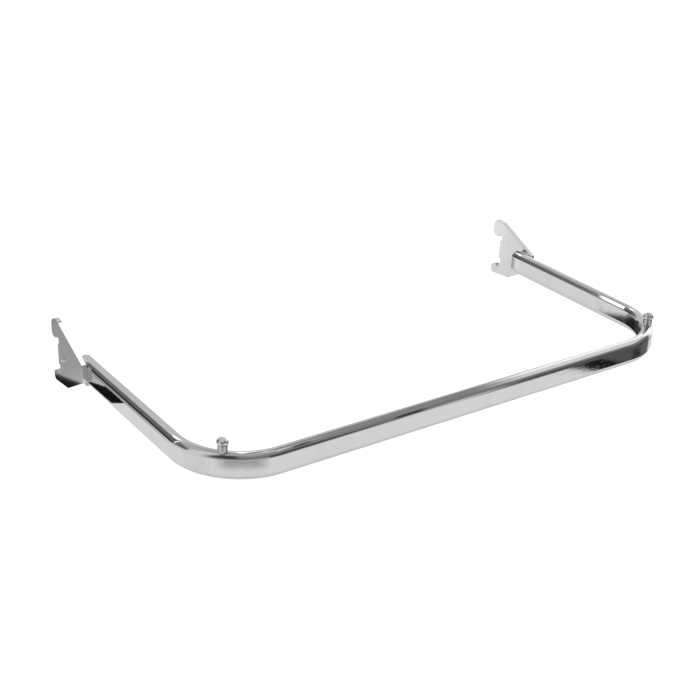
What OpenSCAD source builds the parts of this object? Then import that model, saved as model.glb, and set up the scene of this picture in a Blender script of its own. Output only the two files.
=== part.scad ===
// U-shaped hanging rail in flat-oval tube, with hook plates for a pair of slotted uprights.
// +X runs along the front bar, +Y points back into the uprights and +Z is up. The origin lies
// midway between the two plates, on the uprights' front faces, at the tube's mid height.

/* [Rail tube] */
// Overall width over the two arms, without the hook plates
rail_width = 650; // [450:10:1000]
// Distance from the uprights' faces to the front of the bar
rail_reach = 337.5; // [200:2.5:450]
// Height of the flat-oval section
tube_height = 30; // [26:1:36]
// Width of the flat-oval section
tube_width = 15; // [13:0.5:18]
// Wall thickness of the tube
tube_wall = 1.5; // [1:0.1:2]
// Bend radius at the tube's centreline
bend_radius = 77; // [45:1:95]
// Distance from the uprights' faces to the open ends of the tube
tube_end_gap = 43; // [36:1:48]

/* [Hook plates] */
// Thickness of each hook plate
plate_thickness = 6; // [4:0.5:6]
// Distance from the uprights' faces to the front edge of the plate
plate_reach = 64.5; // [62:0.5:75]
// Distance that the two hooks reach in behind the uprights' faces
hook_reach = 15; // [14:0.5:17]
// Height of the tongue's top above the tube's middle
tongue_top = 42.4; // [40:0.2:46]
// Height of the tongue's lower end above the tube's middle
tongue_bottom = 19; // [18:0.5:20]
// Depth of the claw's underside below the tube's middle
claw_bottom = 36.4; // [36:0.2:40]
// Diameter of the stud on the plate's outer face
stud_diameter = 5; // [4:0.5:6]
// Height of the stud above the plate
stud_height = 3.6; // [3:0.2:5]

/* [Welds] */
// Radius of the rounded weld beads between plate and tube
bead_radius = 2.8; // [2.4:0.1:3]
// Length left bare at each end of the lap
bead_inset = 2.2; // [1:0.2:4]

/* [Stops] */
// Place of the stops on the bends, counted from the front bar
stop_bend_angle = 44; // [20:1:70]
// Diameter of the stop screw's head
head_diameter = 12.5; // [11:0.5:14]
// Height of the stop screw's head
head_height = 7.2; // [5:0.2:8]
// Outer diameter of the collar under the head
collar_diameter = 10.5; // [10:0.1:11]
// Height of the collar above the tube's crest
collar_height = 8; // [5:0.5:12]
// Shank diameter of the stop screw
screw_diameter = 6; // [5:1:6]
// Shank length of the stop screw under its head
screw_length = 16; // [14:1:18]
// Direction of the left screw's slot, which the right one mirrors
slot_angle = 55; // [0:5:175]

/* [Hidden] */
$fn = 96;

LEFT = -1;
RIGHT = 1;

// Rail: centreline places
arm_x = (rail_width - tube_width) / 2;
bar_y = tube_width / 2 - rail_reach;
bend_x = arm_x - bend_radius;
bend_y = bar_y + bend_radius;
flank_x = rail_width / 2;
crest_z = tube_height / 2;
overrun = 1;

// Hook plate: the corners of its outline, as [distance past the upright's face, height, rounding]
front_low = -8.2;
front_high = 12.8;
recess_depth = 3.3;
recess_width = 6.4;
recess_top = tongue_bottom + 3.4;
recess_floor = -24.2;
plate_corners = [
    [-plate_reach, front_low, 1.5],
    [-plate_reach, front_high, 1.5],
    [-1.5, tongue_top, 14],
    [hook_reach, tongue_top, 9.2],
    [hook_reach, tongue_bottom, 5.8],
    [recess_width - recess_depth, tongue_bottom, 2.2],
    [recess_width - recess_depth, recess_top, 1],
    [-recess_depth, recess_top, 2.6],
    [-recess_depth, 15.4, 2.2],
    [0, 14.2, 1.6],
    [0, -10.4, 1.6],
    [-recess_depth, -12.4, 2.2],
    [-recess_depth, recess_floor, 3.2],
    [recess_width - recess_depth, recess_floor, 2.4],
    [recess_width - 1.8, recess_floor + 3, 0.8],
    [recess_width + 0.4, recess_floor + 2.8, 0.8],
    [hook_reach, recess_floor - 0.8, 5],
    [hook_reach - 0.6, -claw_bottom, 5.2],
    [-22.6, -claw_bottom + 3.6, 4],
];
arc_step = 10;
stud_place = [-15, 0];
stud_dome = 1.6;

// Weld beads: middle of the bead's round section, in from the plate and up from the centre
bead_x = flank_x - 1.6;
bead_z = crest_z - 2.4;

// Stops
stop_x = bend_x + bend_radius * sin(stop_bend_angle);
stop_y = bend_y - bend_radius * cos(stop_bend_angle);
bush_diameter = 9;
bush_depth = 11;
bush_bulge = 10.4;
bush_bulge_height = 3;
bush_bulge_drop = 8.2;
collar_bore = screw_diameter + 0.4;
bush_bore = screw_diameter + 0.1;
collar_chamfer = 0.6;
head_rim = 3.6;
head_chamfer = 1.4;
slot_width = 1.6;
slot_depth = 2.4;
tip_chamfer = 0.8;

CHROME = [0.78, 0.79, 0.8];
ZINC = [0.66, 0.67, 0.68];
WELD = [0.6, 0.6, 0.6];

function heading(angle) = [cos(angle), sin(angle)];

// Radius of the sphere whose cap has this base radius and height
function cap_radius(base, height) = (base * base + height * height) / (2 * height);

// Points of the arc that rounds one corner of an outline
function rounded_corner(before, corner, after) =
    let (
        point = [corner[0], corner[1]],
        radius = corner[2],
        arriving = point - [before[0], before[1]],
        leaving = [after[0], after[1]] - point,
        course = atan2(arriving.y, arriving.x),
        turn = atan2(cross(arriving, leaving), arriving * leaving),
        side = sign(turn),
        centre = point - radius * tan(abs(turn) / 2) * heading(course)
            + radius * heading(course + side * 90),
        steps = ceil(abs(turn) / arc_step)
    )
    [for (k = [0:steps]) centre + radius * heading(course - side * 90 + turn * k / steps)];

module rounded_outline(corners) {
    count = len(corners);
    polygon([
        for (i = [0:count - 1])
            each rounded_corner(
                corners[(i + count - 1) % count], corners[i], corners[(i + 1) % count]
            )
    ]);
}

// The flat-oval section, tall along its second axis
module oval(inset) {
    radius = tube_width / 2 - inset;
    rise = (tube_height - tube_width) / 2;
    translate([0, rise]) circle(r = radius);
    translate([0, -rise]) circle(r = radius);
    square([2 * radius, 2 * rise], center = true);
}

module arm(side, inset, extra) {
    translate([side * arm_x, bend_y, 0])
        rotate([90, 0, 0])
            mirror([0, 0, 1])
                linear_extrude(-bend_y - tube_end_gap + extra)
                    oval(inset);
}

module bend(side, inset) {
    translate([side * bend_x, bend_y, 0])
        rotate([0, 0, side == LEFT ? 180 : 270])
            rotate_extrude(angle = 90)
                translate([bend_radius, 0])
                    oval(inset);
}

// The whole U, as its outer skin or, with an inset, as its hollow
module u_sweep(inset = 0, extra = 0) {
    translate([-bend_x, bar_y, 0])
        rotate([90, 0, 90])
            linear_extrude(2 * bend_x)
                oval(inset);
    for (side = [LEFT, RIGHT]) {
        bend(side, inset);
        arm(side, inset, extra);
    }
}

// Just the skin around one stop, which is all that its collar and bush need
module bend_skin(side) {
    bend(side, 0);
}

module at_stop(side) {
    translate([side * stop_x, stop_y, 0]) children();
}

module rail_tube() {
    color(CHROME)
        difference() {
            u_sweep();
            u_sweep(tube_wall, overrun);
            for (side = [LEFT, RIGHT])
                at_stop(side) cylinder(d = bush_diameter, h = tube_height);
        }
}

module hook_plate(side) {
    color(CHROME)
        translate([side == LEFT ? -flank_x - plate_thickness : flank_x, 0, 0])
            rotate([90, 0, 90])
                linear_extrude(plate_thickness)
                    rounded_outline(plate_corners);
}

module bead_section() {
    difference() {
        translate([bead_x, bead_z]) circle(r = bead_radius);
        translate([flank_x, 0]) square(tube_height);
        translate([arm_x, 0]) oval(0);
    }
}

module weld_beads(side) {
    lap = plate_reach - tube_end_gap;
    color(WELD)
        for (level = [0, 1])
            mirror([side == LEFT ? 1 : 0, 0, 0])
                mirror([0, 0, level])
                    translate([0, -tube_end_gap - bead_inset, 0])
                        rotate([90, 0, 0])
                            linear_extrude(lap - 2 * bead_inset)
                                bead_section();
}

module plate_stud(side) {
    radius = stud_diameter / 2;
    ball = cap_radius(radius, stud_dome);
    color(CHROME)
        translate([side * (flank_x + plate_thickness), stud_place.x, stud_place.y])
            rotate([0, side * 90, 0])
                intersection() {
                    cylinder(r = radius, h = stud_height);
                    translate([0, 0, stud_height - ball]) sphere(r = ball);
                }
}

module threaded_bush(side) {
    color(ZINC)
        difference() {
            union() {
                intersection() {
                    at_stop(side)
                        translate([0, 0, crest_z - bush_depth])
                            cylinder(d = bush_diameter, h = bush_depth + overrun);
                    bend_skin(side);
                }
                at_stop(side)
                    translate([0, 0, crest_z - bush_bulge_drop])
                        cylinder(d = bush_bulge, h = bush_bulge_height);
            }
            at_stop(side) cylinder(d = bush_bore, h = tube_height);
        }
}

module stop_collar(side) {
    radius = collar_diameter / 2;
    top = crest_z + collar_height;
    color(CHROME)
        difference() {
            at_stop(side)
                rotate_extrude()
                    polygon([
                        [collar_bore / 2, crest_z / 2],
                        [radius, crest_z / 2],
                        [radius, top - collar_chamfer],
                        [radius - collar_chamfer, top],
                        [collar_bore / 2, top],
                    ]);
            bend_skin(side);
        }
}

module stop_screw(side) {
    radius = head_diameter / 2;
    ball = cap_radius(radius, head_height - head_rim);
    color(CHROME)
        at_stop(side)
            translate([0, 0, crest_z + collar_height]) {
                difference() {
                    intersection() {
                        union() {
                            cylinder(r1 = radius - head_chamfer, r2 = radius, h = head_chamfer);
                            translate([0, 0, head_chamfer])
                                cylinder(r = radius, h = head_height - head_chamfer);
                        }
                        translate([0, 0, head_height - ball]) sphere(r = ball);
                    }
                    rotate([0, 0, -side * slot_angle])
                        translate([-head_diameter, -slot_width / 2, head_height - slot_depth])
                            cube([2 * head_diameter, slot_width, head_height]);
                }
                mirror([0, 0, 1]) {
                    cylinder(d = screw_diameter, h = screw_length - tip_chamfer);
                    translate([0, 0, screw_length - tip_chamfer])
                        cylinder(
                            d1 = screw_diameter, d2 = screw_diameter - 2 * tip_chamfer,
                            h = tip_chamfer
                        );
                }
            }
}

rail_tube();
hook_plate(LEFT);  // left_hook_plate
hook_plate(RIGHT);  // right_hook_plate
weld_beads(LEFT);  // left_weld_beads
weld_beads(RIGHT);  // right_weld_beads
plate_stud(LEFT);  // left_plate_stud
plate_stud(RIGHT);  // right_plate_stud
threaded_bush(LEFT);  // left_threaded_bush
threaded_bush(RIGHT);  // right_threaded_bush
stop_collar(LEFT);  // left_stop_collar
stop_collar(RIGHT);  // right_stop_collar
stop_screw(LEFT);  // left_stop_screw
stop_screw(RIGHT);  // right_stop_screw
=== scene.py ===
"""Visual model of a hook-in hanging rail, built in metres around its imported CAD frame."""

import math

import bmesh
import bpy
from mathutils import Matrix, Vector, noise as lumps


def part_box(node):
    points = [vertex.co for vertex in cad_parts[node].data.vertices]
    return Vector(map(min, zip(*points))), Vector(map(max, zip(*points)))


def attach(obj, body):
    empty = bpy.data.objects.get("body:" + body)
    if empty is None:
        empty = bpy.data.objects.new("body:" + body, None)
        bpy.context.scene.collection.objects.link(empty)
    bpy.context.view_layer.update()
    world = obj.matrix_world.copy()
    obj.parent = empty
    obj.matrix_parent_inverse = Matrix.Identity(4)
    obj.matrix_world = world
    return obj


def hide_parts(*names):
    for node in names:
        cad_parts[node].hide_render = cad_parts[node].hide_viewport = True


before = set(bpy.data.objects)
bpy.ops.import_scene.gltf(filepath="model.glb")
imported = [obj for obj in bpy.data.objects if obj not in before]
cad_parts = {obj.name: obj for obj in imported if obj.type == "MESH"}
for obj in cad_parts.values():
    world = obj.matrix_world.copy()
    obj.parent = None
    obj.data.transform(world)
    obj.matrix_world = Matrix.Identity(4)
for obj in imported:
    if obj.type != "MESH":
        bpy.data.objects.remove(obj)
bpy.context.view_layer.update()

BODY = "root"
SIDES = {"left": -1, "right": 1}

# Rail tube: its box gives its reach, and the section and the bend complete it
TUBE_WIDTH = 0.015
TUBE_WALL = 0.0015
BEND_RADIUS = 0.077
RIM_ROUND = 0.0004
INNER_ROUND = RIM_ROUND * 0.7
TUBE_LOW, TUBE_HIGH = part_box("rail_tube")
CREST = TUBE_HIGH.z
SECTION_RADIUS = TUBE_WIDTH / 2
FLAT_RISE = CREST - SECTION_RADIUS
ARM_X = TUBE_HIGH.x - SECTION_RADIUS
BAR_Y = TUBE_LOW.y + SECTION_RADIUS
END_Y = TUBE_HIGH.y
BEND_X = ARM_X - BEND_RADIUS
BEND_Y = BAR_Y + BEND_RADIUS
ARM_RUN = END_Y - BEND_Y
BEND_RUN = BEND_RADIUS * math.pi / 2
BAR_RUN = 2 * BEND_X
RAIL_RUN = 2 * ARM_RUN + 2 * BEND_RUN + BAR_RUN

# Stops on the bends: places and sizes from their boxes
COLLAR_LOW, COLLAR_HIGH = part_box("right_stop_collar")
SCREW_LOW, SCREW_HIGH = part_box("right_stop_screw")
BUSH_LOW, BUSH_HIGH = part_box("right_threaded_bush")
STOP_X = (SCREW_LOW.x + SCREW_HIGH.x) / 2
STOP_Y = (SCREW_LOW.y + SCREW_HIGH.y) / 2
HEAD_RADIUS = (SCREW_HIGH.x - SCREW_LOW.x) / 2
HEAD_BASE = COLLAR_HIGH.z
HEAD_HEIGHT = SCREW_HIGH.z - HEAD_BASE
HEAD_RIM = 0.0036
HEAD_TAPER = 0.0014
SHANK_RADIUS = 0.003
SHANK_LENGTH = HEAD_BASE - SCREW_LOW.z
THREAD_PITCH = 0.001
THREAD_DEPTH = 0.00055
THREAD_START = 0.001
THREAD_RUNOUT = 0.0008
TIP_CHAMFER = 0.0008
SLOT_WIDTH = 0.0016
SLOT_DEPTH = 0.0024
SLOT_ANGLE = 55
COLLAR_RADIUS = (COLLAR_HIGH.x - COLLAR_LOW.x) / 2
COLLAR_BORE = 0.0032
BUSH_RADIUS = 0.0045
BUSH_BULGE = (BUSH_HIGH.x - BUSH_LOW.x) / 2
BUSH_BORE = 0.00305
BUSH_FOOT = BUSH_LOW.z
BULGE_FOOT = CREST - 0.0082
BULGE_HEIGHT = 0.003

# Rounding of the hook plates' rims
PLATE_ROUND = 0.00045

# Studs and weld beads
STUD_LOW, STUD_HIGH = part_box("right_plate_stud")
STUD_RADIUS = (STUD_HIGH.y - STUD_LOW.y) / 2
STUD_HEIGHT = STUD_HIGH.x - STUD_LOW.x
STUD_DOME = 0.0016
BEAD_LOW, BEAD_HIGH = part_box("right_weld_beads")
PLATE_FACE = BEAD_HIGH.x
BEAD_RADIUS = 0.0028
BEAD_IN = 0.0016
BEAD_DOWN = 0.0024
BEAD_RIPPLE = 0.00015
BEAD_PITCH = 0.0014
BEAD_EASE = 0.0016
BEAD_STEPS = 110
BEAD_ROUND = 16

# Camera, at the photograph's viewing angle
VIEW_AZIMUTH = math.radians(-35.72)
VIEW_ELEVATION = math.radians(25.52)
VIEW_ROLL = math.radians(2.2)
VIEW_DISTANCE = 1.5588
VIEW_TARGET = Vector((-0.038, -0.1585, 0))
VIEW_LENS = 68.95

FLOOR_DROP = 0.9
FLOOR_SIZE = 60


# Node helpers

def node_tree(owner):
    owner.use_nodes = True
    owner.node_tree.nodes.clear()
    return owner.node_tree


def add(tree, kind, inputs=None, **settings):
    """A new node with its settings and its inputs, each a value or another node's socket."""
    made = tree.nodes.new(kind)
    for key, value in settings.items():
        setattr(made, key, value)
    for key, value in (inputs or {}).items():
        if isinstance(value, bpy.types.NodeSocket):
            tree.links.new(value, made.inputs[key])
        else:
            made.inputs[key].default_value = value
    return made


def math_node(tree, operation, *values):
    made = add(tree, "ShaderNodeMath", dict(enumerate(values)), operation=operation)
    return made.outputs[0]


def remap(tree, value, start, end, low, high, kind="LINEAR"):
    made = add(
        tree, "ShaderNodeMapRange",
        {"Value": value, "From Min": start, "From Max": end, "To Min": low, "To Max": high},
        interpolation_type=kind,
    )
    return made.outputs[0]


def noise(tree, vector, scale, detail=3.0, roughness=0.5):
    made = add(
        tree, "ShaderNodeTexNoise",
        {"Vector": vector, "Scale": scale, "Detail": detail, "Roughness": roughness},
    )
    return made.outputs["Fac"]


def stretched(tree, vector, scale, turn=(0, 0, 0)):
    made = add(tree, "ShaderNodeMapping", {"Vector": vector, "Scale": scale, "Rotation": turn})
    return made.outputs[0]


def length_of(tree, first, second):
    """The length of a vector with two parts at right angles."""
    squares = [math_node(tree, "MULTIPLY", part, part) for part in (first, second)]
    return math_node(tree, "SQRT", math_node(tree, "ADD", *squares))


def mixed_colour(tree, factor, first, second):
    made = add(
        tree, "ShaderNodeMix",
        {"Factor": factor, "A": (*first, 1), "B": (*second, 1)},
        data_type="RGBA",
    )
    return made.outputs["Result"]


def metal_surface(tree, colour, metallic, rough, bump):
    shader = add(
        tree, "ShaderNodeBsdfPrincipled",
        {"Base Color": colour, "Metallic": metallic, "Roughness": rough, "Normal": bump.outputs[0]},
    )
    add(tree, "ShaderNodeOutputMaterial", {"Surface": shader.outputs[0]})


# Materials

def scratches(tree, vector, spacing, length, turn, coverage):
    """Thin straight scratches: 1 on a scratch and 0 between them."""
    lines = noise(tree, stretched(tree, vector, (1 / length, 1 / spacing, 1 / spacing), turn), 1.0, 2.0)
    return remap(tree, lines, 1 - coverage, 1 - coverage + 0.03, 0, 1)


def chrome_roughness(tree, smudge, polish, marks, specks, gloss, haze, grain, wear):
    """The bare gloss, dulled by smudges and polishing lines, and on top of it by marks or specks."""
    dull = remap(tree, smudge, 0.5, 0.8, 0, haze, "SMOOTHSTEP")
    lined = remap(tree, polish, 0.3, 0.7, 0, 0.02 * grain)
    scored = math_node(tree, "MULTIPLY", marks, 0.10 * wear)
    dusted = math_node(tree, "MULTIPLY", specks, 0.15 * wear)
    rough = math_node(tree, "ADD", math_node(tree, "ADD", dull, lined), gloss)
    return math_node(tree, "ADD", rough, math_node(tree, "MAXIMUM", scored, dusted))


def chrome_relief(tree, wave, polish, marks, grain, wear):
    """A faint waviness under the polishing lines, with the scratches cut in."""
    wavy = add(tree, "ShaderNodeBump", {"Strength": 0.3, "Distance": 0.00001, "Height": wave})
    lined = add(
        tree, "ShaderNodeBump",
        {"Strength": 0.05 * grain, "Distance": 0.000005, "Height": polish, "Normal": wavy.outputs[0]},
    )
    return add(
        tree, "ShaderNodeBump",
        {"Strength": 0.15 * wear, "Distance": 0.000006, "Height": marks, "Normal": lined.outputs[0]},
        invert=True,
    )


def plating(name, lines, gloss, haze, grain, wear, tint=(0.80, 0.805, 0.812)):
    """Bright chrome: polishing lines, fine scratches, handling haze, dust specks and a faint waviness.

    lines is a function that gives the polishing lines. gloss is the bare roughness, and haze, grain
    and wear set how strong the marks on it are.
    """
    material = bpy.data.materials.new(name)
    tree = node_tree(material)
    coords = add(tree, "ShaderNodeTexCoord").outputs["Object"]
    polish = lines(tree, coords)
    fine = scratches(tree, coords, 0.0007, 0.03, (0.1, 0.05, 0.12), 0.33)
    cross = scratches(tree, coords, 0.0009, 0.018, (0.4, 0.9, 0.7), 0.32)
    smudge = noise(tree, coords, 38.0, 4.0, 0.6)
    specks = remap(tree, noise(tree, coords, 1900.0, 1.0), 0.76, 0.80, 0, 1)
    wave = noise(tree, coords, 55.0, 1.0)
    marks = math_node(tree, "MAXIMUM", fine, cross)
    smudged = [part * 0.94 for part in tint]
    colour = mixed_colour(tree, remap(tree, smudge, 0.45, 0.8, 0, 1), tint, smudged)
    rough = chrome_roughness(tree, smudge, polish, marks, specks, gloss, haze, grain, wear)
    metal_surface(tree, colour, 1.0, rough, chrome_relief(tree, wave, polish, marks, grain, wear))
    return material


def lines_along_rail(tree, coords):
    run = add(tree, "ShaderNodeUVMap", uv_map="run").outputs[0]
    return noise(tree, stretched(tree, run, (60, 9000, 9000)), 1.0, 4.0)


def lines_up_plate(tree, coords):
    return noise(tree, stretched(tree, coords, (5000, 5000, 260)), 1.0, 4.0)


def lines_on_weld(tree, coords):
    return noise(tree, coords, 2600.0, 5.0, 0.7)


def lines_round_stop(tree, coords):
    """Turned rings about either stop's axis: both lie at the same distance from the middle."""
    split = add(tree, "ShaderNodeSeparateXYZ", {"Vector": coords})
    across = math_node(tree, "SUBTRACT", math_node(tree, "ABSOLUTE", split.outputs["X"]), STOP_X)
    along = math_node(tree, "SUBTRACT", split.outputs["Y"], STOP_Y)
    fine_radius = math_node(tree, "MULTIPLY", length_of(tree, across, along), 7000)
    fine_height = math_node(tree, "MULTIPLY", split.outputs["Z"], 7000)
    ring = add(tree, "ShaderNodeCombineXYZ", {"X": fine_radius, "Z": fine_height})
    return noise(tree, ring.outputs[0], 1.0, 2.0)


def lines_round_stud(tree, coords):
    """Turned rings about the studs' shared axis, which runs along X."""
    split = add(tree, "ShaderNodeSeparateXYZ", {"Vector": coords})
    along = math_node(tree, "SUBTRACT", split.outputs["Y"], (STUD_LOW.y + STUD_HIGH.y) / 2)
    fine_radius = math_node(tree, "MULTIPLY", length_of(tree, split.outputs["Z"], along), 6000)
    fine_height = math_node(tree, "MULTIPLY", split.outputs["X"], 6000)
    ring = add(tree, "ShaderNodeCombineXYZ", {"X": fine_height, "Y": fine_radius})
    return noise(tree, ring.outputs[0], 1.0, 2.0)


def rail_chrome():
    return plating("rail chrome", lines_along_rail, gloss=0.02, haze=0.03, grain=0.6, wear=0.6)


def plate_chrome():
    return plating("plate chrome", lines_up_plate, gloss=0.045, haze=0.06, grain=1.3, wear=1.0)


def weld_chrome():
    tint = (0.8, 0.8, 0.805)
    return plating("weld chrome", lines_on_weld, gloss=0.22, haze=0.06, grain=1.5, wear=0.6, tint=tint)


def stud_chrome():
    # The tint is lighter than the other chrome's: a painted highlight that makes the studs look white
    tint = (0.97, 0.97, 0.97)
    return plating("stud chrome", lines_round_stud, gloss=0.42, haze=0.08, grain=1.5, wear=0.8, tint=tint)


def collar_chrome():
    # The tint is darker than the other chrome's: painted shade under the screw head
    tint = (0.6, 0.605, 0.6)
    return plating("collar chrome", lines_round_stop, gloss=0.12, haze=0.06, grain=1.6, wear=0.8, tint=tint)


def screw_chrome():
    return plating("screw chrome", lines_round_stop, gloss=0.05, haze=0.05, grain=1.2, wear=1.3)


def bush_zinc():
    """Zinc plating: a fine spangle, cloudy passivation and white bloom, duller than the chrome."""
    material = bpy.data.materials.new("bush zinc")
    tree = node_tree(material)
    coords = add(tree, "ShaderNodeTexCoord").outputs["Object"]
    spangle = add(tree, "ShaderNodeTexVoronoi", {"Vector": coords, "Scale": 900.0}).outputs["Color"]
    facet = add(tree, "ShaderNodeRGBToBW", {"Color": spangle}).outputs[0]
    cloud = noise(tree, coords, 260.0, 5.0, 0.6)
    turned = lines_round_stop(tree, coords)
    scored = scratches(tree, coords, 0.0006, 0.006, (0.7, 0.2, 0.4), 0.34)
    bloomed = remap(tree, cloud, 0.5, 0.75, 0, 0.6)
    colour = mixed_colour(tree, bloomed, (0.62, 0.63, 0.66), (0.78, 0.79, 0.77))
    clouded = remap(tree, cloud, 0.4, 0.8, 0, 0.2)
    rough = math_node(tree, "ADD", remap(tree, facet, 0, 1, 0.24, 0.36), clouded)
    rough = math_node(tree, "ADD", rough, math_node(tree, "MULTIPLY", scored, 0.12))
    height = math_node(tree, "ADD", turned, math_node(tree, "MULTIPLY", facet, 0.4))
    bump = add(tree, "ShaderNodeBump", {"Strength": 0.25, "Distance": 0.00001, "Height": height})
    metal_surface(tree, colour, 0.95, rough, bump)
    return material


def bare_steel():
    """Dull steel with a drawn grain and faint rust staining, as inside a tube that plating missed."""
    material = bpy.data.materials.new("tube inside")
    tree = node_tree(material)
    coords = add(tree, "ShaderNodeTexCoord").outputs["Object"]
    grain = noise(tree, stretched(tree, coords, (3000, 300, 3000)), 1.0, 4.0)
    stain = noise(tree, coords, 70.0, 6.0, 0.65)
    rusted = remap(tree, stain, 0.5, 0.75, 0, 0.7)
    colour = mixed_colour(tree, rusted, (0.33, 0.32, 0.31), (0.16, 0.09, 0.05))
    rough = remap(tree, grain, 0.2, 0.8, 0.34, 0.54)
    bump = add(tree, "ShaderNodeBump", {"Strength": 0.4, "Distance": 0.00003, "Height": grain})
    metal_surface(tree, colour, 0.9, rough, bump)
    return material


# Mesh helpers

def place_object(name, data):
    placed = bpy.data.objects.new(name, data)
    bpy.context.scene.collection.objects.link(placed)
    return placed


def finish_piece(name, bm, materials, slot, *stands_for):
    """Turns a bmesh into a named, smooth piece that rides on the rail's body."""
    bmesh.ops.recalc_face_normals(bm, faces=bm.faces)
    for face in bm.faces:
        face.smooth = True
    mesh = bpy.data.meshes.new(name)
    bm.to_mesh(mesh)
    bm.free()
    piece = place_object(name, mesh)
    for material in materials:
        mesh.materials.append(material)
    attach(piece, BODY)
    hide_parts(*stands_for)
    return piece


def bake(piece):
    """Turns the piece's modifiers into plain mesh."""
    graph = bpy.context.evaluated_depsgraph_get()
    solid = bpy.data.meshes.new_from_object(
        piece.evaluated_get(graph), preserve_all_data_layers=True, depsgraph=graph,
    )
    piece.modifiers.clear()
    piece.data = solid


def soften(piece, width, segments, angle):
    """Rounds over the piece's edges that are sharper than the angle in degrees."""
    rounding = piece.modifiers.new("rounding", "BEVEL")
    rounding.width = width
    rounding.segments = segments
    rounding.limit_method = "ANGLE"
    rounding.angle_limit = math.radians(angle)


def weigh_normals(piece):
    """Makes flat faces look flat beside their rounded rims, and bakes the piece."""
    modifier = piece.modifiers.new("flat faces", "WEIGHTED_NORMAL")
    modifier.keep_sharp = True
    modifier.weight = 100
    bake(piece)


def lathe(profile, steps=96, centre=(0, 0, 0)):
    """A closed solid turned about the vertical axis from (radius, height) points, bottom to top."""
    bm = bmesh.new()
    rings = []
    for radius, height in profile:
        if radius < 1e-7:
            rings.append([bm.verts.new((centre[0], centre[1], centre[2] + height))])
            continue
        rings.append([
            bm.verts.new((
                centre[0] + radius * math.cos(2 * math.pi * k / steps),
                centre[1] + radius * math.sin(2 * math.pi * k / steps),
                centre[2] + height,
            ))
            for k in range(steps)
        ])
    for lower, upper in zip(rings, rings[1:]):
        for k in range(steps):
            after = (k + 1) % steps
            corners = [lower[k % len(lower)], lower[after % len(lower)]]
            corners += [upper[after % len(upper)], upper[k % len(upper)]]
            bm.faces.new(list(dict.fromkeys(corners)))
    for end in (rings[0], rings[-1]):
        if len(end) > 1:
            bm.faces.new(end)
    return bm


def arc(centre, radius, start, end, steps):
    """Points on an arc, with its angles in degrees."""
    return [
        (
            centre[0] + radius * math.cos(math.radians(start + (end - start) * k / steps)),
            centre[1] + radius * math.sin(math.radians(start + (end - start) * k / steps)),
        )
        for k in range(steps + 1)
    ]


# Rail tube

def along_rail(run):
    """The centreline's place and outward direction at a distance from the left end."""
    if run <= ARM_RUN:
        return Vector((-ARM_X, END_Y - run, 0)), Vector((-1, 0, 0))
    run -= ARM_RUN
    if run <= BEND_RUN:
        turn = math.pi + run / BEND_RADIUS
        outward = Vector((math.cos(turn), math.sin(turn), 0))
        return Vector((-BEND_X, BEND_Y, 0)) + BEND_RADIUS * outward, outward
    run -= BEND_RUN
    if run <= BAR_RUN:
        return Vector((run - BEND_X, BAR_Y, 0)), Vector((0, -1, 0))
    run -= BAR_RUN
    if run <= BEND_RUN:
        turn = 1.5 * math.pi + run / BEND_RADIUS
        outward = Vector((math.cos(turn), math.sin(turn), 0))
        return Vector((BEND_X, BEND_Y, 0)) + BEND_RADIUS * outward, outward
    run -= BEND_RUN
    return Vector((ARM_X, BEND_Y + run, 0)), Vector((1, 0, 0))


def section(inset):
    """The flat-oval section as (outward offset, height), with close loops beside each flat."""
    radius = SECTION_RADIUS - inset
    support = [-0.96, -0.3, 0.3, 0.96]
    points = arc((0, FLAT_RISE), radius, 0, 180, 40)
    points += [(-radius, -FLAT_RISE * t) for t in support]
    points += arc((0, -FLAT_RISE), radius, 180, 360, 40)
    points += [(radius, FLAT_RISE * t) for t in support]
    return points


def rail_stations():
    """Distances along the rail, close together in the bends."""
    spans = [(ARM_RUN, 12), (BEND_RUN, 44), (BAR_RUN, 24), (BEND_RUN, 44), (ARM_RUN, 12)]
    stations = []
    start = 0
    for length, steps in spans:
        stations += [start + length * k / steps for k in range(steps)]
        start += length
    return stations[1:]


def rail_rings():
    """Each ring's distance along the rail and depth under the skin: out along the skin, back inside."""
    inside = TUBE_WALL - INNER_ROUND
    rings = [(run, 0) for run in rail_stations()]
    rings += [(RAIL_RUN - RIM_ROUND + x, RIM_ROUND - y) for x, y in arc((0, 0), RIM_ROUND, 90, 0, 4)]
    rings += [(RAIL_RUN - INNER_ROUND + x, inside - y) for x, y in arc((0, 0), INNER_ROUND, 0, -90, 4)]
    rings += [(run, TUBE_WALL) for run in reversed(rail_stations())]
    rings += [(INNER_ROUND + x, inside - y) for x, y in arc((0, 0), INNER_ROUND, -90, -180, 4)]
    rings += [(RIM_ROUND + x, RIM_ROUND - y) for x, y in arc((0, 0), RIM_ROUND, 180, 90, 4)]
    return rings


def girths_of(outline):
    """Distance round the outline at each point, and at the first point again."""
    girth = [0.0]
    for here, after in zip(outline, outline[1:] + outline[:1]):
        girth.append(girth[-1] + math.dist(here, after))
    return girth


def rail_tube(chrome, inside):
    """The whole tube as one skin: outer wall, rounded end rims and inner wall."""
    rings = rail_rings()
    bm = bmesh.new()
    run_map = bm.loops.layers.uv.new("run")
    loops = []
    for run, inset in rings:
        place, outward = along_rail(run)
        loops.append([bm.verts.new(place + outward * a + Vector((0, 0, z))) for a, z in section(inset)])
    count = len(loops[0])
    girth = girths_of(section(0))
    for i, ring in enumerate(loops):
        following = (i + 1) % len(loops)
        for k in range(count):
            after = (k + 1) % count
            face = bm.faces.new([ring[k], loops[following][k], loops[following][after], ring[after]])
            runs = [rings[i][0], rings[following][0], rings[following][0], rings[i][0]]
            girths = [girth[k], girth[k], girth[k + 1], girth[k + 1]]
            for corner, run, around in zip(face.loops, runs, girths):
                corner[run_map].uv = (run, around)
            inner_wall = rings[i][1] > TUBE_WALL - INNER_ROUND and rings[following][1] > TUBE_WALL / 2
            face.material_index = int(inner_wall)
    finish_piece("rail_tube_skin", bm, [chrome, inside], "rail_chrome", "rail_tube")


# Hook plates

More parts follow.
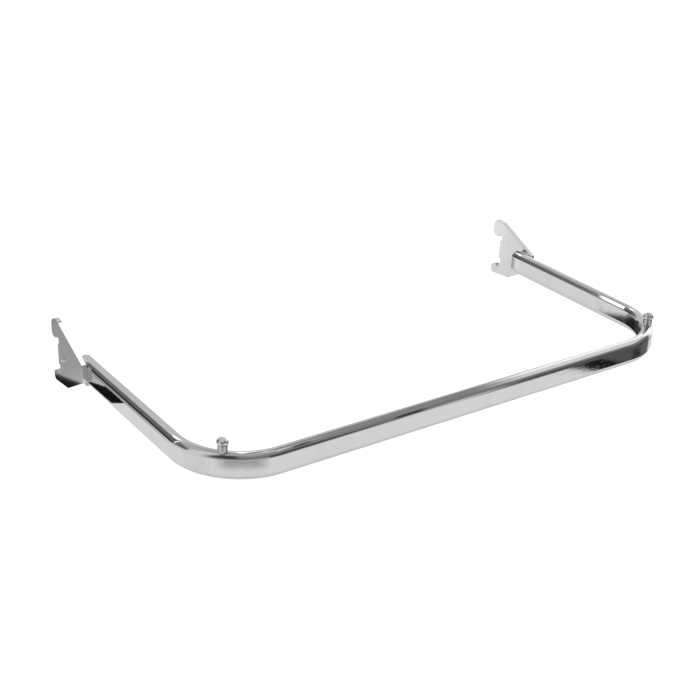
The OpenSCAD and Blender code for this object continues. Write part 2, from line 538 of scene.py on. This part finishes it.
def hook_plate(side, chrome):
    """The stamped plate: the CAD outline with its sharp rims rounded over."""
    node = f"{side}_hook_plate"
    bm = bmesh.new()
    bm.from_mesh(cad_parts[node].data)
    bmesh.ops.remove_doubles(bm, verts=bm.verts, dist=1e-6)
    bmesh.ops.dissolve_limit(
        bm, angle_limit=math.radians(0.5), verts=bm.verts, edges=bm.edges,
        use_dissolve_boundaries=False, delimit=set(),
    )
    rims = [e for e in bm.edges if len(e.link_faces) == 2 and e.calc_face_angle() > math.radians(60)]
    bmesh.ops.bevel(
        bm, geom=rims, offset=PLATE_ROUND, offset_type="OFFSET", segments=4, profile=0.5,
        affect="EDGES", clamp_overlap=True,
    )
    weigh_normals(finish_piece(f"{side}_hook_plate_skin", bm, [chrome], "plate_chrome", node))


# Weld beads

def bead_section(radius_at):
    """The bead's section as (distance in from the plate, height), for the upper right bead.

    The bead's round runs from the plate to the tube, then the tube's skin and the plate's face close it.
    """
    centre = Vector((-BEAD_IN, CREST - BEAD_DOWN))
    cap = Vector((-SECTION_RADIUS, FLAT_RISE))
    reach = centre - cap
    size = radius_at(0)
    along = (SECTION_RADIUS ** 2 - size ** 2 + reach.length ** 2) / (2 * reach.length)
    off = math.sqrt(max(SECTION_RADIUS ** 2 - along ** 2, 0))
    unit = reach.normalized()
    normal = Vector((-unit.y, unit.x))
    upper = cap + along * unit + off * normal
    lower = cap + along * unit - off * normal
    start = math.acos(min(1, BEAD_IN / size))
    end = math.atan2(upper.y - centre.y, upper.x - centre.x)
    points = []
    for k in range(BEAD_ROUND + 1):
        t = k / BEAD_ROUND
        angle = start + (end - start) * t
        shrink = math.sin(math.pi * t)
        reach_here = size + (radius_at(2 * t - 1) - size) * shrink
        points.append((centre.x + reach_here * math.cos(angle), centre.y + reach_here * math.sin(angle)))
    high = math.atan2(upper.y - cap.y, upper.x - cap.x)
    low = math.atan2(lower.y - cap.y, lower.x - cap.x)
    for k in range(1, BEAD_ROUND // 2 + 1):
        angle = high + (low - high) * k / (BEAD_ROUND // 2)
        points.append((cap.x + SECTION_RADIUS * math.cos(angle), cap.y + SECTION_RADIUS * math.sin(angle)))
    points.append((0, centre.y - math.sqrt(max(size ** 2 - BEAD_IN ** 2, 0))))
    return points


def weld_bead(bm, mirror_x, mirror_z, seed):
    """One bead with crescent ripples, a few lumps and eased ends."""
    start, end = BEAD_LOW.y, BEAD_HIGH.y
    rings = []
    for k in range(BEAD_STEPS + 1):
        t = k / BEAD_STEPS
        y = start + (end - start) * t
        ease = min(1, min(t, 1 - t) * (end - start) / BEAD_EASE)
        plump = 0.64 + 0.36 * math.sqrt(1 - (1 - ease) ** 2)

        def radius_at(offset, y=y, plump=plump):
            if offset == 0:
                return BEAD_RADIUS * plump
            crescent = math.sin(2 * math.pi * (y / BEAD_PITCH + 0.55 * offset * offset))
            lump = lumps.noise(Vector((y * 420, offset * 1.5, seed)))
            return BEAD_RADIUS * plump - BEAD_RIPPLE * (0.5 - 0.5 * crescent) - BEAD_RIPPLE * (0.5 + lump)

        rings.append([
            bm.verts.new((mirror_x * (PLATE_FACE + a), y, mirror_z * z)) for a, z in bead_section(radius_at)
        ])
    count = len(rings[0])
    for ring, following in zip(rings, rings[1:]):
        for k in range(count):
            after = (k + 1) % count
            bm.faces.new([ring[k], following[k], following[after], ring[after]])
    bm.faces.new(rings[0])
    bm.faces.new(rings[-1])


def weld_beads(side, material):
    bm = bmesh.new()
    for level in (1, -1):
        weld_bead(bm, SIDES[side], level, 3 * SIDES[side] + level)
    finish_piece(f"{side}_weld_bead_pair", bm, [material], "weld_bead", f"{side}_weld_beads")


# Studs

def stud(side, material):
    """A domed stud with a short upset foot, on the plate's outer face."""
    waist = STUD_RADIUS - 0.00012
    shoulder = STUD_HEIGHT - STUD_DOME
    dome = (waist ** 2 + STUD_DOME ** 2) / (2 * STUD_DOME)
    profile = [(STUD_RADIUS, 0), (STUD_RADIUS, 0.00025), (waist, 0.0005), (waist, shoulder - 0.0002)]
    spread = math.asin(min(1, waist / dome))
    for k in range(25):
        angle = spread * 0.97 * (1 - k / 24)
        profile.append((dome * math.sin(angle), STUD_HEIGHT - dome + dome * math.cos(angle)))
    bm = lathe(profile, 64)
    middle = (STUD_LOW + STUD_HIGH) / 2
    place = Vector((SIDES[side] * STUD_LOW.x, middle.y, middle.z))
    turn = Matrix.Rotation(SIDES[side] * math.pi / 2, 4, "Y")
    bmesh.ops.transform(bm, matrix=Matrix.Translation(place) @ turn, verts=bm.verts)
    finish_piece(f"{side}_stud", bm, [material], "stud_chrome", f"{side}_plate_stud")


# Stops

def skin_height(x, y):
    """Height of the tube's rounded crest above a place on either bend."""
    off = math.hypot(abs(x) - BEND_X, y - BEND_Y) - BEND_RADIUS
    return FLAT_RISE + math.sqrt(max(SECTION_RADIUS ** 2 - off ** 2, 0))


def stop_place(side):
    return SIDES[side] * STOP_X, STOP_Y


def ring_solid(side, profile, rides_skin, steps=96):
    """A bored part about a stop's axis, from a closed loop of (radius, height) points.

    The points numbered in rides_skin take the height of the tube's crest under them.
    """
    bm = bmesh.new()
    x, y = stop_place(side)
    rings = []
    for k in range(steps):
        turn = 2 * math.pi * k / steps
        ring = []
        for number, (radius, height) in enumerate(profile):
            px, py = x + radius * math.cos(turn), y + radius * math.sin(turn)
            base = skin_height(px, py) if number in rides_skin else 0
            ring.append(bm.verts.new((px, py, base + height)))
        rings.append(ring)
    count = len(profile)
    for k in range(steps):
        ring, following = rings[k], rings[(k + 1) % steps]
        for m in range(count):
            after = (m + 1) % count
            bm.faces.new([ring[m], following[m], following[after], ring[after]])
    return bm


def stop_collar(side, material):
    """A turned spacer with eased rims, its foot cut to sit on the tube's rounded crest."""
    edge = 0.0007
    lip = 0.0003
    top = COLLAR_HIGH.z
    foot = [(COLLAR_BORE, 0), (COLLAR_RADIUS - lip, 0), (COLLAR_RADIUS, lip)]
    wall = [(COLLAR_RADIUS, CREST + 0.0012), (COLLAR_RADIUS, top - edge - 0.0004)]
    rim = arc((COLLAR_RADIUS - edge, top - edge), edge, 0, 90, 6)
    bore = arc((COLLAR_BORE + lip, top - lip), lip, 90, 180, 4)
    bm = ring_solid(side, foot + wall + rim + bore, {0, 1, 2})
    finish_piece(f"{side}_stop_spacer", bm, [material], "collar_chrome", f"{side}_stop_collar")


def threaded_bush(side, material):
    """A blind-side bush: flush with the crest outside, with a bulge that grips the wall inside."""
    bulge_round = 0.0007
    lip = 0.0003
    outside = [(BUSH_BORE + lip, BUSH_FOOT), (BUSH_RADIUS - lip, BUSH_FOOT), (BUSH_RADIUS, BUSH_FOOT + lip)]
    outside.append((BUSH_RADIUS, BULGE_FOOT - 0.0004))
    low_round = arc((BUSH_BULGE - bulge_round, BULGE_FOOT + bulge_round), bulge_round, -90, 0, 5)
    bulge_top = BULGE_FOOT + BULGE_HEIGHT
    high_round = arc((BUSH_BULGE - bulge_round, bulge_top - bulge_round), bulge_round, 0, 90, 5)
    above = [(BUSH_RADIUS, bulge_top + 0.0002)]
    mouth = [(BUSH_RADIUS, -0.0002), (BUSH_RADIUS - lip, 0), (BUSH_BORE + lip, 0), (BUSH_BORE, -0.0003)]
    bore = [(BUSH_BORE, CREST - 0.002), (BUSH_BORE, BUSH_FOOT + lip)]
    profile = outside + [(BUSH_RADIUS + 0.0001, BULGE_FOOT)] + low_round + high_round + above + mouth + bore
    first = len(outside) + 1 + len(low_round) + len(high_round) + len(above)
    bm = ring_solid(side, profile, set(range(first, first + len(mouth))))
    finish_piece(f"{side}_blind_bush", bm, [material], "bush_zinc", f"{side}_threaded_bush")


def screw_head(side):
    """The low domed head with an eased rim, before its slot is cut."""
    ball = (HEAD_RADIUS ** 2 + (HEAD_HEIGHT - HEAD_RIM) ** 2) / (2 * (HEAD_HEIGHT - HEAD_RIM))
    edge = 0.0004
    profile = [(0, HEAD_BASE), (SHANK_RADIUS, HEAD_BASE)]
    profile += arc((HEAD_RADIUS - HEAD_TAPER - edge / 2, HEAD_BASE + edge), edge, -90, -45, 3)
    profile += arc((HEAD_RADIUS - 2 * edge, HEAD_BASE + HEAD_TAPER + edge / 2), 2 * edge, -40, 0, 6)
    spread = math.asin(HEAD_RADIUS / ball)
    rim_top = HEAD_BASE + HEAD_RIM
    profile += [(HEAD_RADIUS, rim_top - 0.0004), (HEAD_RADIUS - 0.00005, rim_top - 0.00015)]
    for k in range(1, 41):
        angle = spread * (1 - k / 40)
        profile.append((ball * math.sin(angle), SCREW_HIGH.z - ball + ball * math.cos(angle)))
    return lathe(profile, 128, (*stop_place(side), 0))


def slot_cutter(side):
    """A bar the size of the driver slot, at the slot's angle."""
    bm = bmesh.new()
    x, y = stop_place(side)
    made = bmesh.ops.create_cube(bm, size=1)
    scale = Matrix.Diagonal((3 * HEAD_RADIUS, SLOT_WIDTH, HEAD_HEIGHT, 1))
    turn = Matrix.Rotation(math.radians(-SIDES[side] * SLOT_ANGLE), 4, "Z")
    lift = SCREW_HIGH.z - SLOT_DEPTH + HEAD_HEIGHT / 2
    bmesh.ops.transform(bm, matrix=Matrix.Translation((x, y, lift)) @ turn @ scale, verts=made["verts"])
    mesh = bpy.data.meshes.new("slot cutter")
    bm.to_mesh(mesh)
    bm.free()
    return place_object("slot_cutter", mesh)


def cut_away(piece, cutter):
    """Cuts the cutter's shape out of the piece for good, and removes the cutter."""
    cut = piece.modifiers.new("cut", "BOOLEAN")
    cut.object = cutter
    cut.operation = "DIFFERENCE"
    cut.solver = "EXACT"
    bake(piece)
    bpy.data.objects.remove(cutter)


def thread(bm, side):
    """The shank's real helical thread, from under the head down to a chamfered tip."""
    x, y = stop_place(side)
    around = 48
    per_pitch = 10
    rings = round(SHANK_LENGTH / THREAD_PITCH * per_pitch)
    loops = []
    for j in range(rings + 1):
        down = SHANK_LENGTH * j / rings
        ring = []
        for k in range(around):
            phase = (down / THREAD_PITCH + k / around) % 1
            flank = min(1, 1.15 * (1 - abs(2 * phase - 1)))
            cut = min(1, max(0, (down - THREAD_START) / THREAD_RUNOUT))
            tip = max(0, down - (SHANK_LENGTH - TIP_CHAMFER))
            radius = min(SHANK_RADIUS - THREAD_DEPTH * cut * (1 - flank), SHANK_RADIUS - tip)
            turn = 2 * math.pi * k / around
            px, py = x + radius * math.cos(turn), y + radius * math.sin(turn)
            ring.append(bm.verts.new((px, py, HEAD_BASE - down)))
        loops.append(ring)
    for ring, following in zip(loops, loops[1:]):
        for k in range(around):
            after = (k + 1) % around
            bm.faces.new([ring[k], ring[after], following[after], following[k]])
    bm.faces.new(loops[0])
    bm.faces.new(loops[-1])


def stop_screw(side, material):
    """The screw in two pieces: a slotted head and a threaded shank."""
    node = f"{side}_stop_screw"
    head = finish_piece(f"{side}_stop_screw_head", screw_head(side), [material], "screw_chrome", node)
    cut_away(head, slot_cutter(side))
    soften(head, 0.00012, 2, 50)
    weigh_normals(head)
    bm = bmesh.new()
    thread(bm, side)
    finish_piece(f"{side}_stop_screw_shank", bm, [material], "screw_chrome", node)


# Camera, floor and light

def aim_camera():
    azimuth, elevation = VIEW_AZIMUTH, VIEW_ELEVATION
    back = Vector((
        math.sin(azimuth) * math.cos(elevation),
        -math.cos(azimuth) * math.cos(elevation),
        math.sin(elevation),
    ))
    right = Vector((math.cos(azimuth), math.sin(azimuth), 0))
    up = back.cross(right)
    rolled = Matrix.Rotation(VIEW_ROLL, 3, back)
    right, up = rolled @ right, rolled @ up
    data = bpy.data.cameras.new("view")
    data.lens = VIEW_LENS
    data.sensor_width = 36
    data.clip_start = 0.05
    data.clip_end = 200
    camera = place_object("view", data)
    place = VIEW_TARGET + back * VIEW_DISTANCE
    turn = Matrix((right, up, back)).transposed()
    camera.matrix_world = Matrix.Translation(place) @ turn.to_4x4()
    bpy.context.scene.camera = camera


def pale_floor():
    bm = bmesh.new()
    half = FLOOR_SIZE / 2
    corners = [(-half, -half), (half, -half), (half, half), (-half, half)]
    bm.faces.new([bm.verts.new((x, y, -FLOOR_DROP)) for x, y in corners])
    mesh = bpy.data.meshes.new("floor")
    bm.to_mesh(mesh)
    bm.free()
    floor = place_object("floor", mesh)
    material = bpy.data.materials.new("pale floor")
    tree = node_tree(material)
    paint = {"Base Color": (0.9, 0.9, 0.9, 1), "Roughness": 0.9}
    glow = {"Emission Color": (1, 1, 1, 1), "Emission Strength": 0.75}
    shader = add(tree, "ShaderNodeBsdfPrincipled", {**paint, **glow})
    add(tree, "ShaderNodeOutputMaterial", {"Surface": shader.outputs[0]})
    mesh.materials.append(material)
    floor.visible_glossy = False


# Studio: how bright it is at each elevation, then the soft cards and flags that the chrome mirrors.
# An azimuth counts from the front towards the right, and brightness is linear. The values were set
# until the chrome showed the dark and bright shapes of the real rail at the camera's angle.
GLOW_BY_ELEVATION = [
    (-90, 0.64), (-50, 0.67), (-28, 0.80), (-15, 0.79), (-5, 0.57), (5, 0.34),
    (15, 0.22), (30, 0.21), (45, 0.24), (58, 0.28), (68, 0.43), (90, 0.43),
]
# Name, azimuth, elevation, half width, half height, softness of the sides and of the top and bottom, glow
STUDIO_CARDS = [
    ("left wall", -98, 20, 20, 50, 10, 10, 0.70),
    ("left flag", -116, 20, 9, 13, 4, 5, 0.12),
    ("camera side flag", -54, 44, 18, 24, 8, 8, 0.066),
    ("camera's stand", -28, -20.3, 30, 10.3, 14, 0.12, 0.38),
    ("top of the back wall", -155, 58, 30, 14, 10, 6, 0.50),
    ("back corner", -160, -14, 15, 13, 4, 1, 0.375),
    ("back wall", 166, 17, 27, 30, 8, 8, 0.60),
    ("back flag", -147, 17, 18, 22, 7, 6, 0.15),
    ("back flag's core", -142, 2, 9, 10, 4, 5, 0.035),
    ("far sheet", -141, -17.5, 3.5, 3.5, 0.8, 1.5, 1.0),
    ("low back flag", -166.8, -23.55, 39.8, 0.45, 1.5, 0.1, 0.012),
    ("low back flag's far part", 176.5, -24.8, 23, 1.7, 1.5, 0.1, 0.012),
    ("low back corner", 160, -16, 22, 8, 4, 2, 0.06),
    ("back lamp", -176.5, 42.8, 12, 3, 1.5, 1, 1.6),
    ("slim lamp", 149, 47, 1.6, 17, 1, 5, 1.5),
    ("window's foot", 128, -20, 16, 10, 8, 3, 0.55),
    ("window", 115, 18, 24, 31, 4, 4, 1.15),
    ("window's top", 82, 42, 32, 10.5, 8, 3, 0.78),
    ("overhead sheet", 84, 64, 22, 3.5, 8, 1, 0.60),
    ("overhead sheet's end", 52, 59, 10, 3, 4, 1, 0.62),
    ("bar flag", 20.5, 17, 12.5, 14, 1.5, 4, 0.07),
    ("bar flag's end", 42, -4, 4, 16, 1, 4, 0.085),
    ("right flag", 64, -8, 22, 17.5, 4, 0.15, 0.105),
    ("right flag's foot", 86, -20, 13, 8, 5, 3, 0.13),
    ("sheet's right edge", 47.5, -25.3, 4.5, 0.27, 1.5, 0.06, 0.006),
    ("sheet's far edge", 62, -24.65, 10, 0.27, 6, 0.12, 0.03),
    ("right post", 64, -10, 5, 10, 4, 4, 0.05),
    ("ceiling lamp", 122.5, 66, 6, 3, 1.5, 0.8, 1.5),
]
# Cards seen only past the edge of the window's frame, and the X of a direction where that edge
# starts and where it ends
FRAMED_CARDS = ("window", "window's top")
FRAME_EDGE = (0.59, 0.63)
# Long things that hang parallel to the arms or to the bar: the axis that they cross, their place
# along it, half width, lowest and highest elevation, softness of their ends, and glow
STUDIO_STRIPS = [
    ("Y", 0.6225, 0.0065, 12, 44, 4, 2.2),
    ("X", 0.552, 0.009, 8, 37, 4, 0.045),
    ("X", 0.478, 0.008, 40, 62, 3, 0.11),
]
# A dark patch on the left, behind the rail and below it: its corners and its height
DARK_PATCH = [
    (-0.50, 0.195), (-0.498, 0.245), (-0.476, 0.292), (-0.462, 0.33),
    (-0.44, 0.38), (-0.36, 0.40), (-0.36, 0.29), (-0.47, 0.214),
]
PATCH_HEIGHT = -0.2


def degrees(tree, angle):
    return math_node(tree, "MULTIPLY", angle, 180 / math.pi)


def card_mask(tree, azimuth, elevation, card):
    """1 inside a soft-edged card, and 0 away from it."""
    _, middle, height, half_width, half_height, soft_side, soft_end, _ = card
    off = math_node(tree, "SUBTRACT", azimuth, middle)
    off = math_node(tree, "ABSOLUTE", math_node(tree, "WRAP", off, 180, -180))
    rise = math_node(tree, "ABSOLUTE", math_node(tree, "SUBTRACT", elevation, height))
    across = remap(tree, off, half_width - soft_side, half_width + soft_side, 1, 0, "SMOOTHSTEP")
    upward = remap(tree, rise, half_height - soft_end, half_height + soft_end, 1, 0, "SMOOTHSTEP")
    return math_node(tree, "MULTIPLY", across, upward)


def strip_mask(tree, split, elevation, strip):
    """1 along a strip, on the front or left half of the sky that it hangs in, and 0 away from it."""
    axis, place, half_width, low, high, soft, _ = strip
    off = math_node(tree, "ABSOLUTE", math_node(tree, "SUBTRACT", split.outputs[axis], place))
    across = remap(tree, off, half_width * 0.7, half_width * 1.3, 1, 0, "SMOOTHSTEP")
    rise = math_node(tree, "ABSOLUTE", math_node(tree, "SUBTRACT", elevation, (low + high) / 2))
    half = (high - low) / 2
    along = remap(tree, rise, half - soft, half + soft, 1, 0, "SMOOTHSTEP")
    this_side = math_node(tree, "LESS_THAN", split.outputs["X" if axis == "Y" else "Y"], 0)
    return math_node(tree, "MULTIPLY", math_node(tree, "MULTIPLY", across, along), this_side)


def lit(tree, light, mask, glow):
    """The light with a glow of its own where the mask is 1."""
    blended = add(tree, "ShaderNodeMix", {"Factor": mask, "A": light, "B": glow}, data_type="FLOAT")
    return blended.outputs["Result"]


def sky(tree, elevation):
    """The light before any card, by elevation alone."""
    ramp = add(tree, "ShaderNodeValToRGB", {"Fac": remap(tree, elevation, -90, 90, 0, 1)})
    stops = ramp.color_ramp.elements
    while len(stops) > 1:
        stops.remove(stops[-1])
    for k, (angle, glow) in enumerate(GLOW_BY_ELEVATION):
        stop = stops[0] if k == 0 else stops.new((angle + 90) / 180)
        stop.position = (angle + 90) / 180
        stop.color = (glow, glow, glow, 1)
    return add(tree, "ShaderNodeRGBToBW", {"Color": ramp.outputs["Color"]}).outputs[0]


def studio():
    """A world that the chrome mirrors, and plain white where the camera sees past the rail."""
    world = bpy.data.worlds.new("studio")
    bpy.context.scene.world = world
    tree = node_tree(world)
    direction = add(tree, "ShaderNodeTexCoord").outputs["Generated"]
    split = add(tree, "ShaderNodeSeparateXYZ", {"Vector": direction})
    front = math_node(tree, "MULTIPLY", split.outputs["Y"], -1)
    azimuth = degrees(tree, math_node(tree, "ARCTAN2", split.outputs["X"], front))
    elevation = degrees(tree, math_node(tree, "ARCSINE", split.outputs["Z"]))
    light = sky(tree, elevation)
    for card in STUDIO_CARDS:
        mask = card_mask(tree, azimuth, elevation, card)
        if card[0] in FRAMED_CARDS:
            frame_side = remap(tree, split.outputs["X"], *FRAME_EDGE, 0, 1, "SMOOTHSTEP")
            mask = math_node(tree, "MULTIPLY", mask, frame_side)
        light = lit(tree, light, mask, card[-1])
    for strip in STUDIO_STRIPS:
        light = lit(tree, light, strip_mask(tree, split, elevation, strip), strip[-1])
    mirrored = add(tree, "ShaderNodeBackground", {"Color": (1, 1, 1, 1), "Strength": light})
    plain = add(tree, "ShaderNodeBackground", {"Color": (1, 1, 1, 1), "Strength": 1.0})
    seen = add(tree, "ShaderNodeLightPath").outputs["Is Camera Ray"]
    mixed = add(tree, "ShaderNodeMixShader", {0: seen, 1: mirrored.outputs[0], 2: plain.outputs[0]})
    add(tree, "ShaderNodeOutputWorld", {"Surface": mixed.outputs[0]})


def dark_patch():
    """A near black patch that only the chrome can see."""
    bm = bmesh.new()
    bm.faces.new([bm.verts.new((x, y, PATCH_HEIGHT)) for x, y in DARK_PATCH])
    mesh = bpy.data.meshes.new("dark_patches")
    bm.to_mesh(mesh)
    bm.free()
    material = bpy.data.materials.new("dark patch")
    tree = node_tree(material)
    shader = add(tree, "ShaderNodeBsdfDiffuse", {"Color": (0.02, 0.02, 0.02, 1), "Roughness": 1.0})
    add(tree, "ShaderNodeOutputMaterial", {"Surface": shader.outputs[0]})
    mesh.materials.append(material)
    patches = place_object("dark_patches", mesh)
    patches.visible_camera = False
    patches.visible_diffuse = False
    patches.visible_shadow = False


aim_camera()
pale_floor()
studio()
dark_patch()
bpy.context.scene.view_settings.view_transform = "Standard"

rail_plating = rail_chrome()
tube_inside = bare_steel()
plate_plating = plate_chrome()
weld_plating = weld_chrome()
stud_plating_painted_highlight = stud_chrome()
collar_plating_painted_shade = collar_chrome()
screw_plating = screw_chrome()
zinc = bush_zinc()
rail_tube(rail_plating, tube_inside)
for side in SIDES:
    hook_plate(side, plate_plating)
    weld_beads(side, weld_plating)
    stud(side, stud_plating_painted_highlight)
    stop_collar(side, collar_plating_painted_shade)
    threaded_bush(side, zinc)
    stop_screw(side, screw_plating)
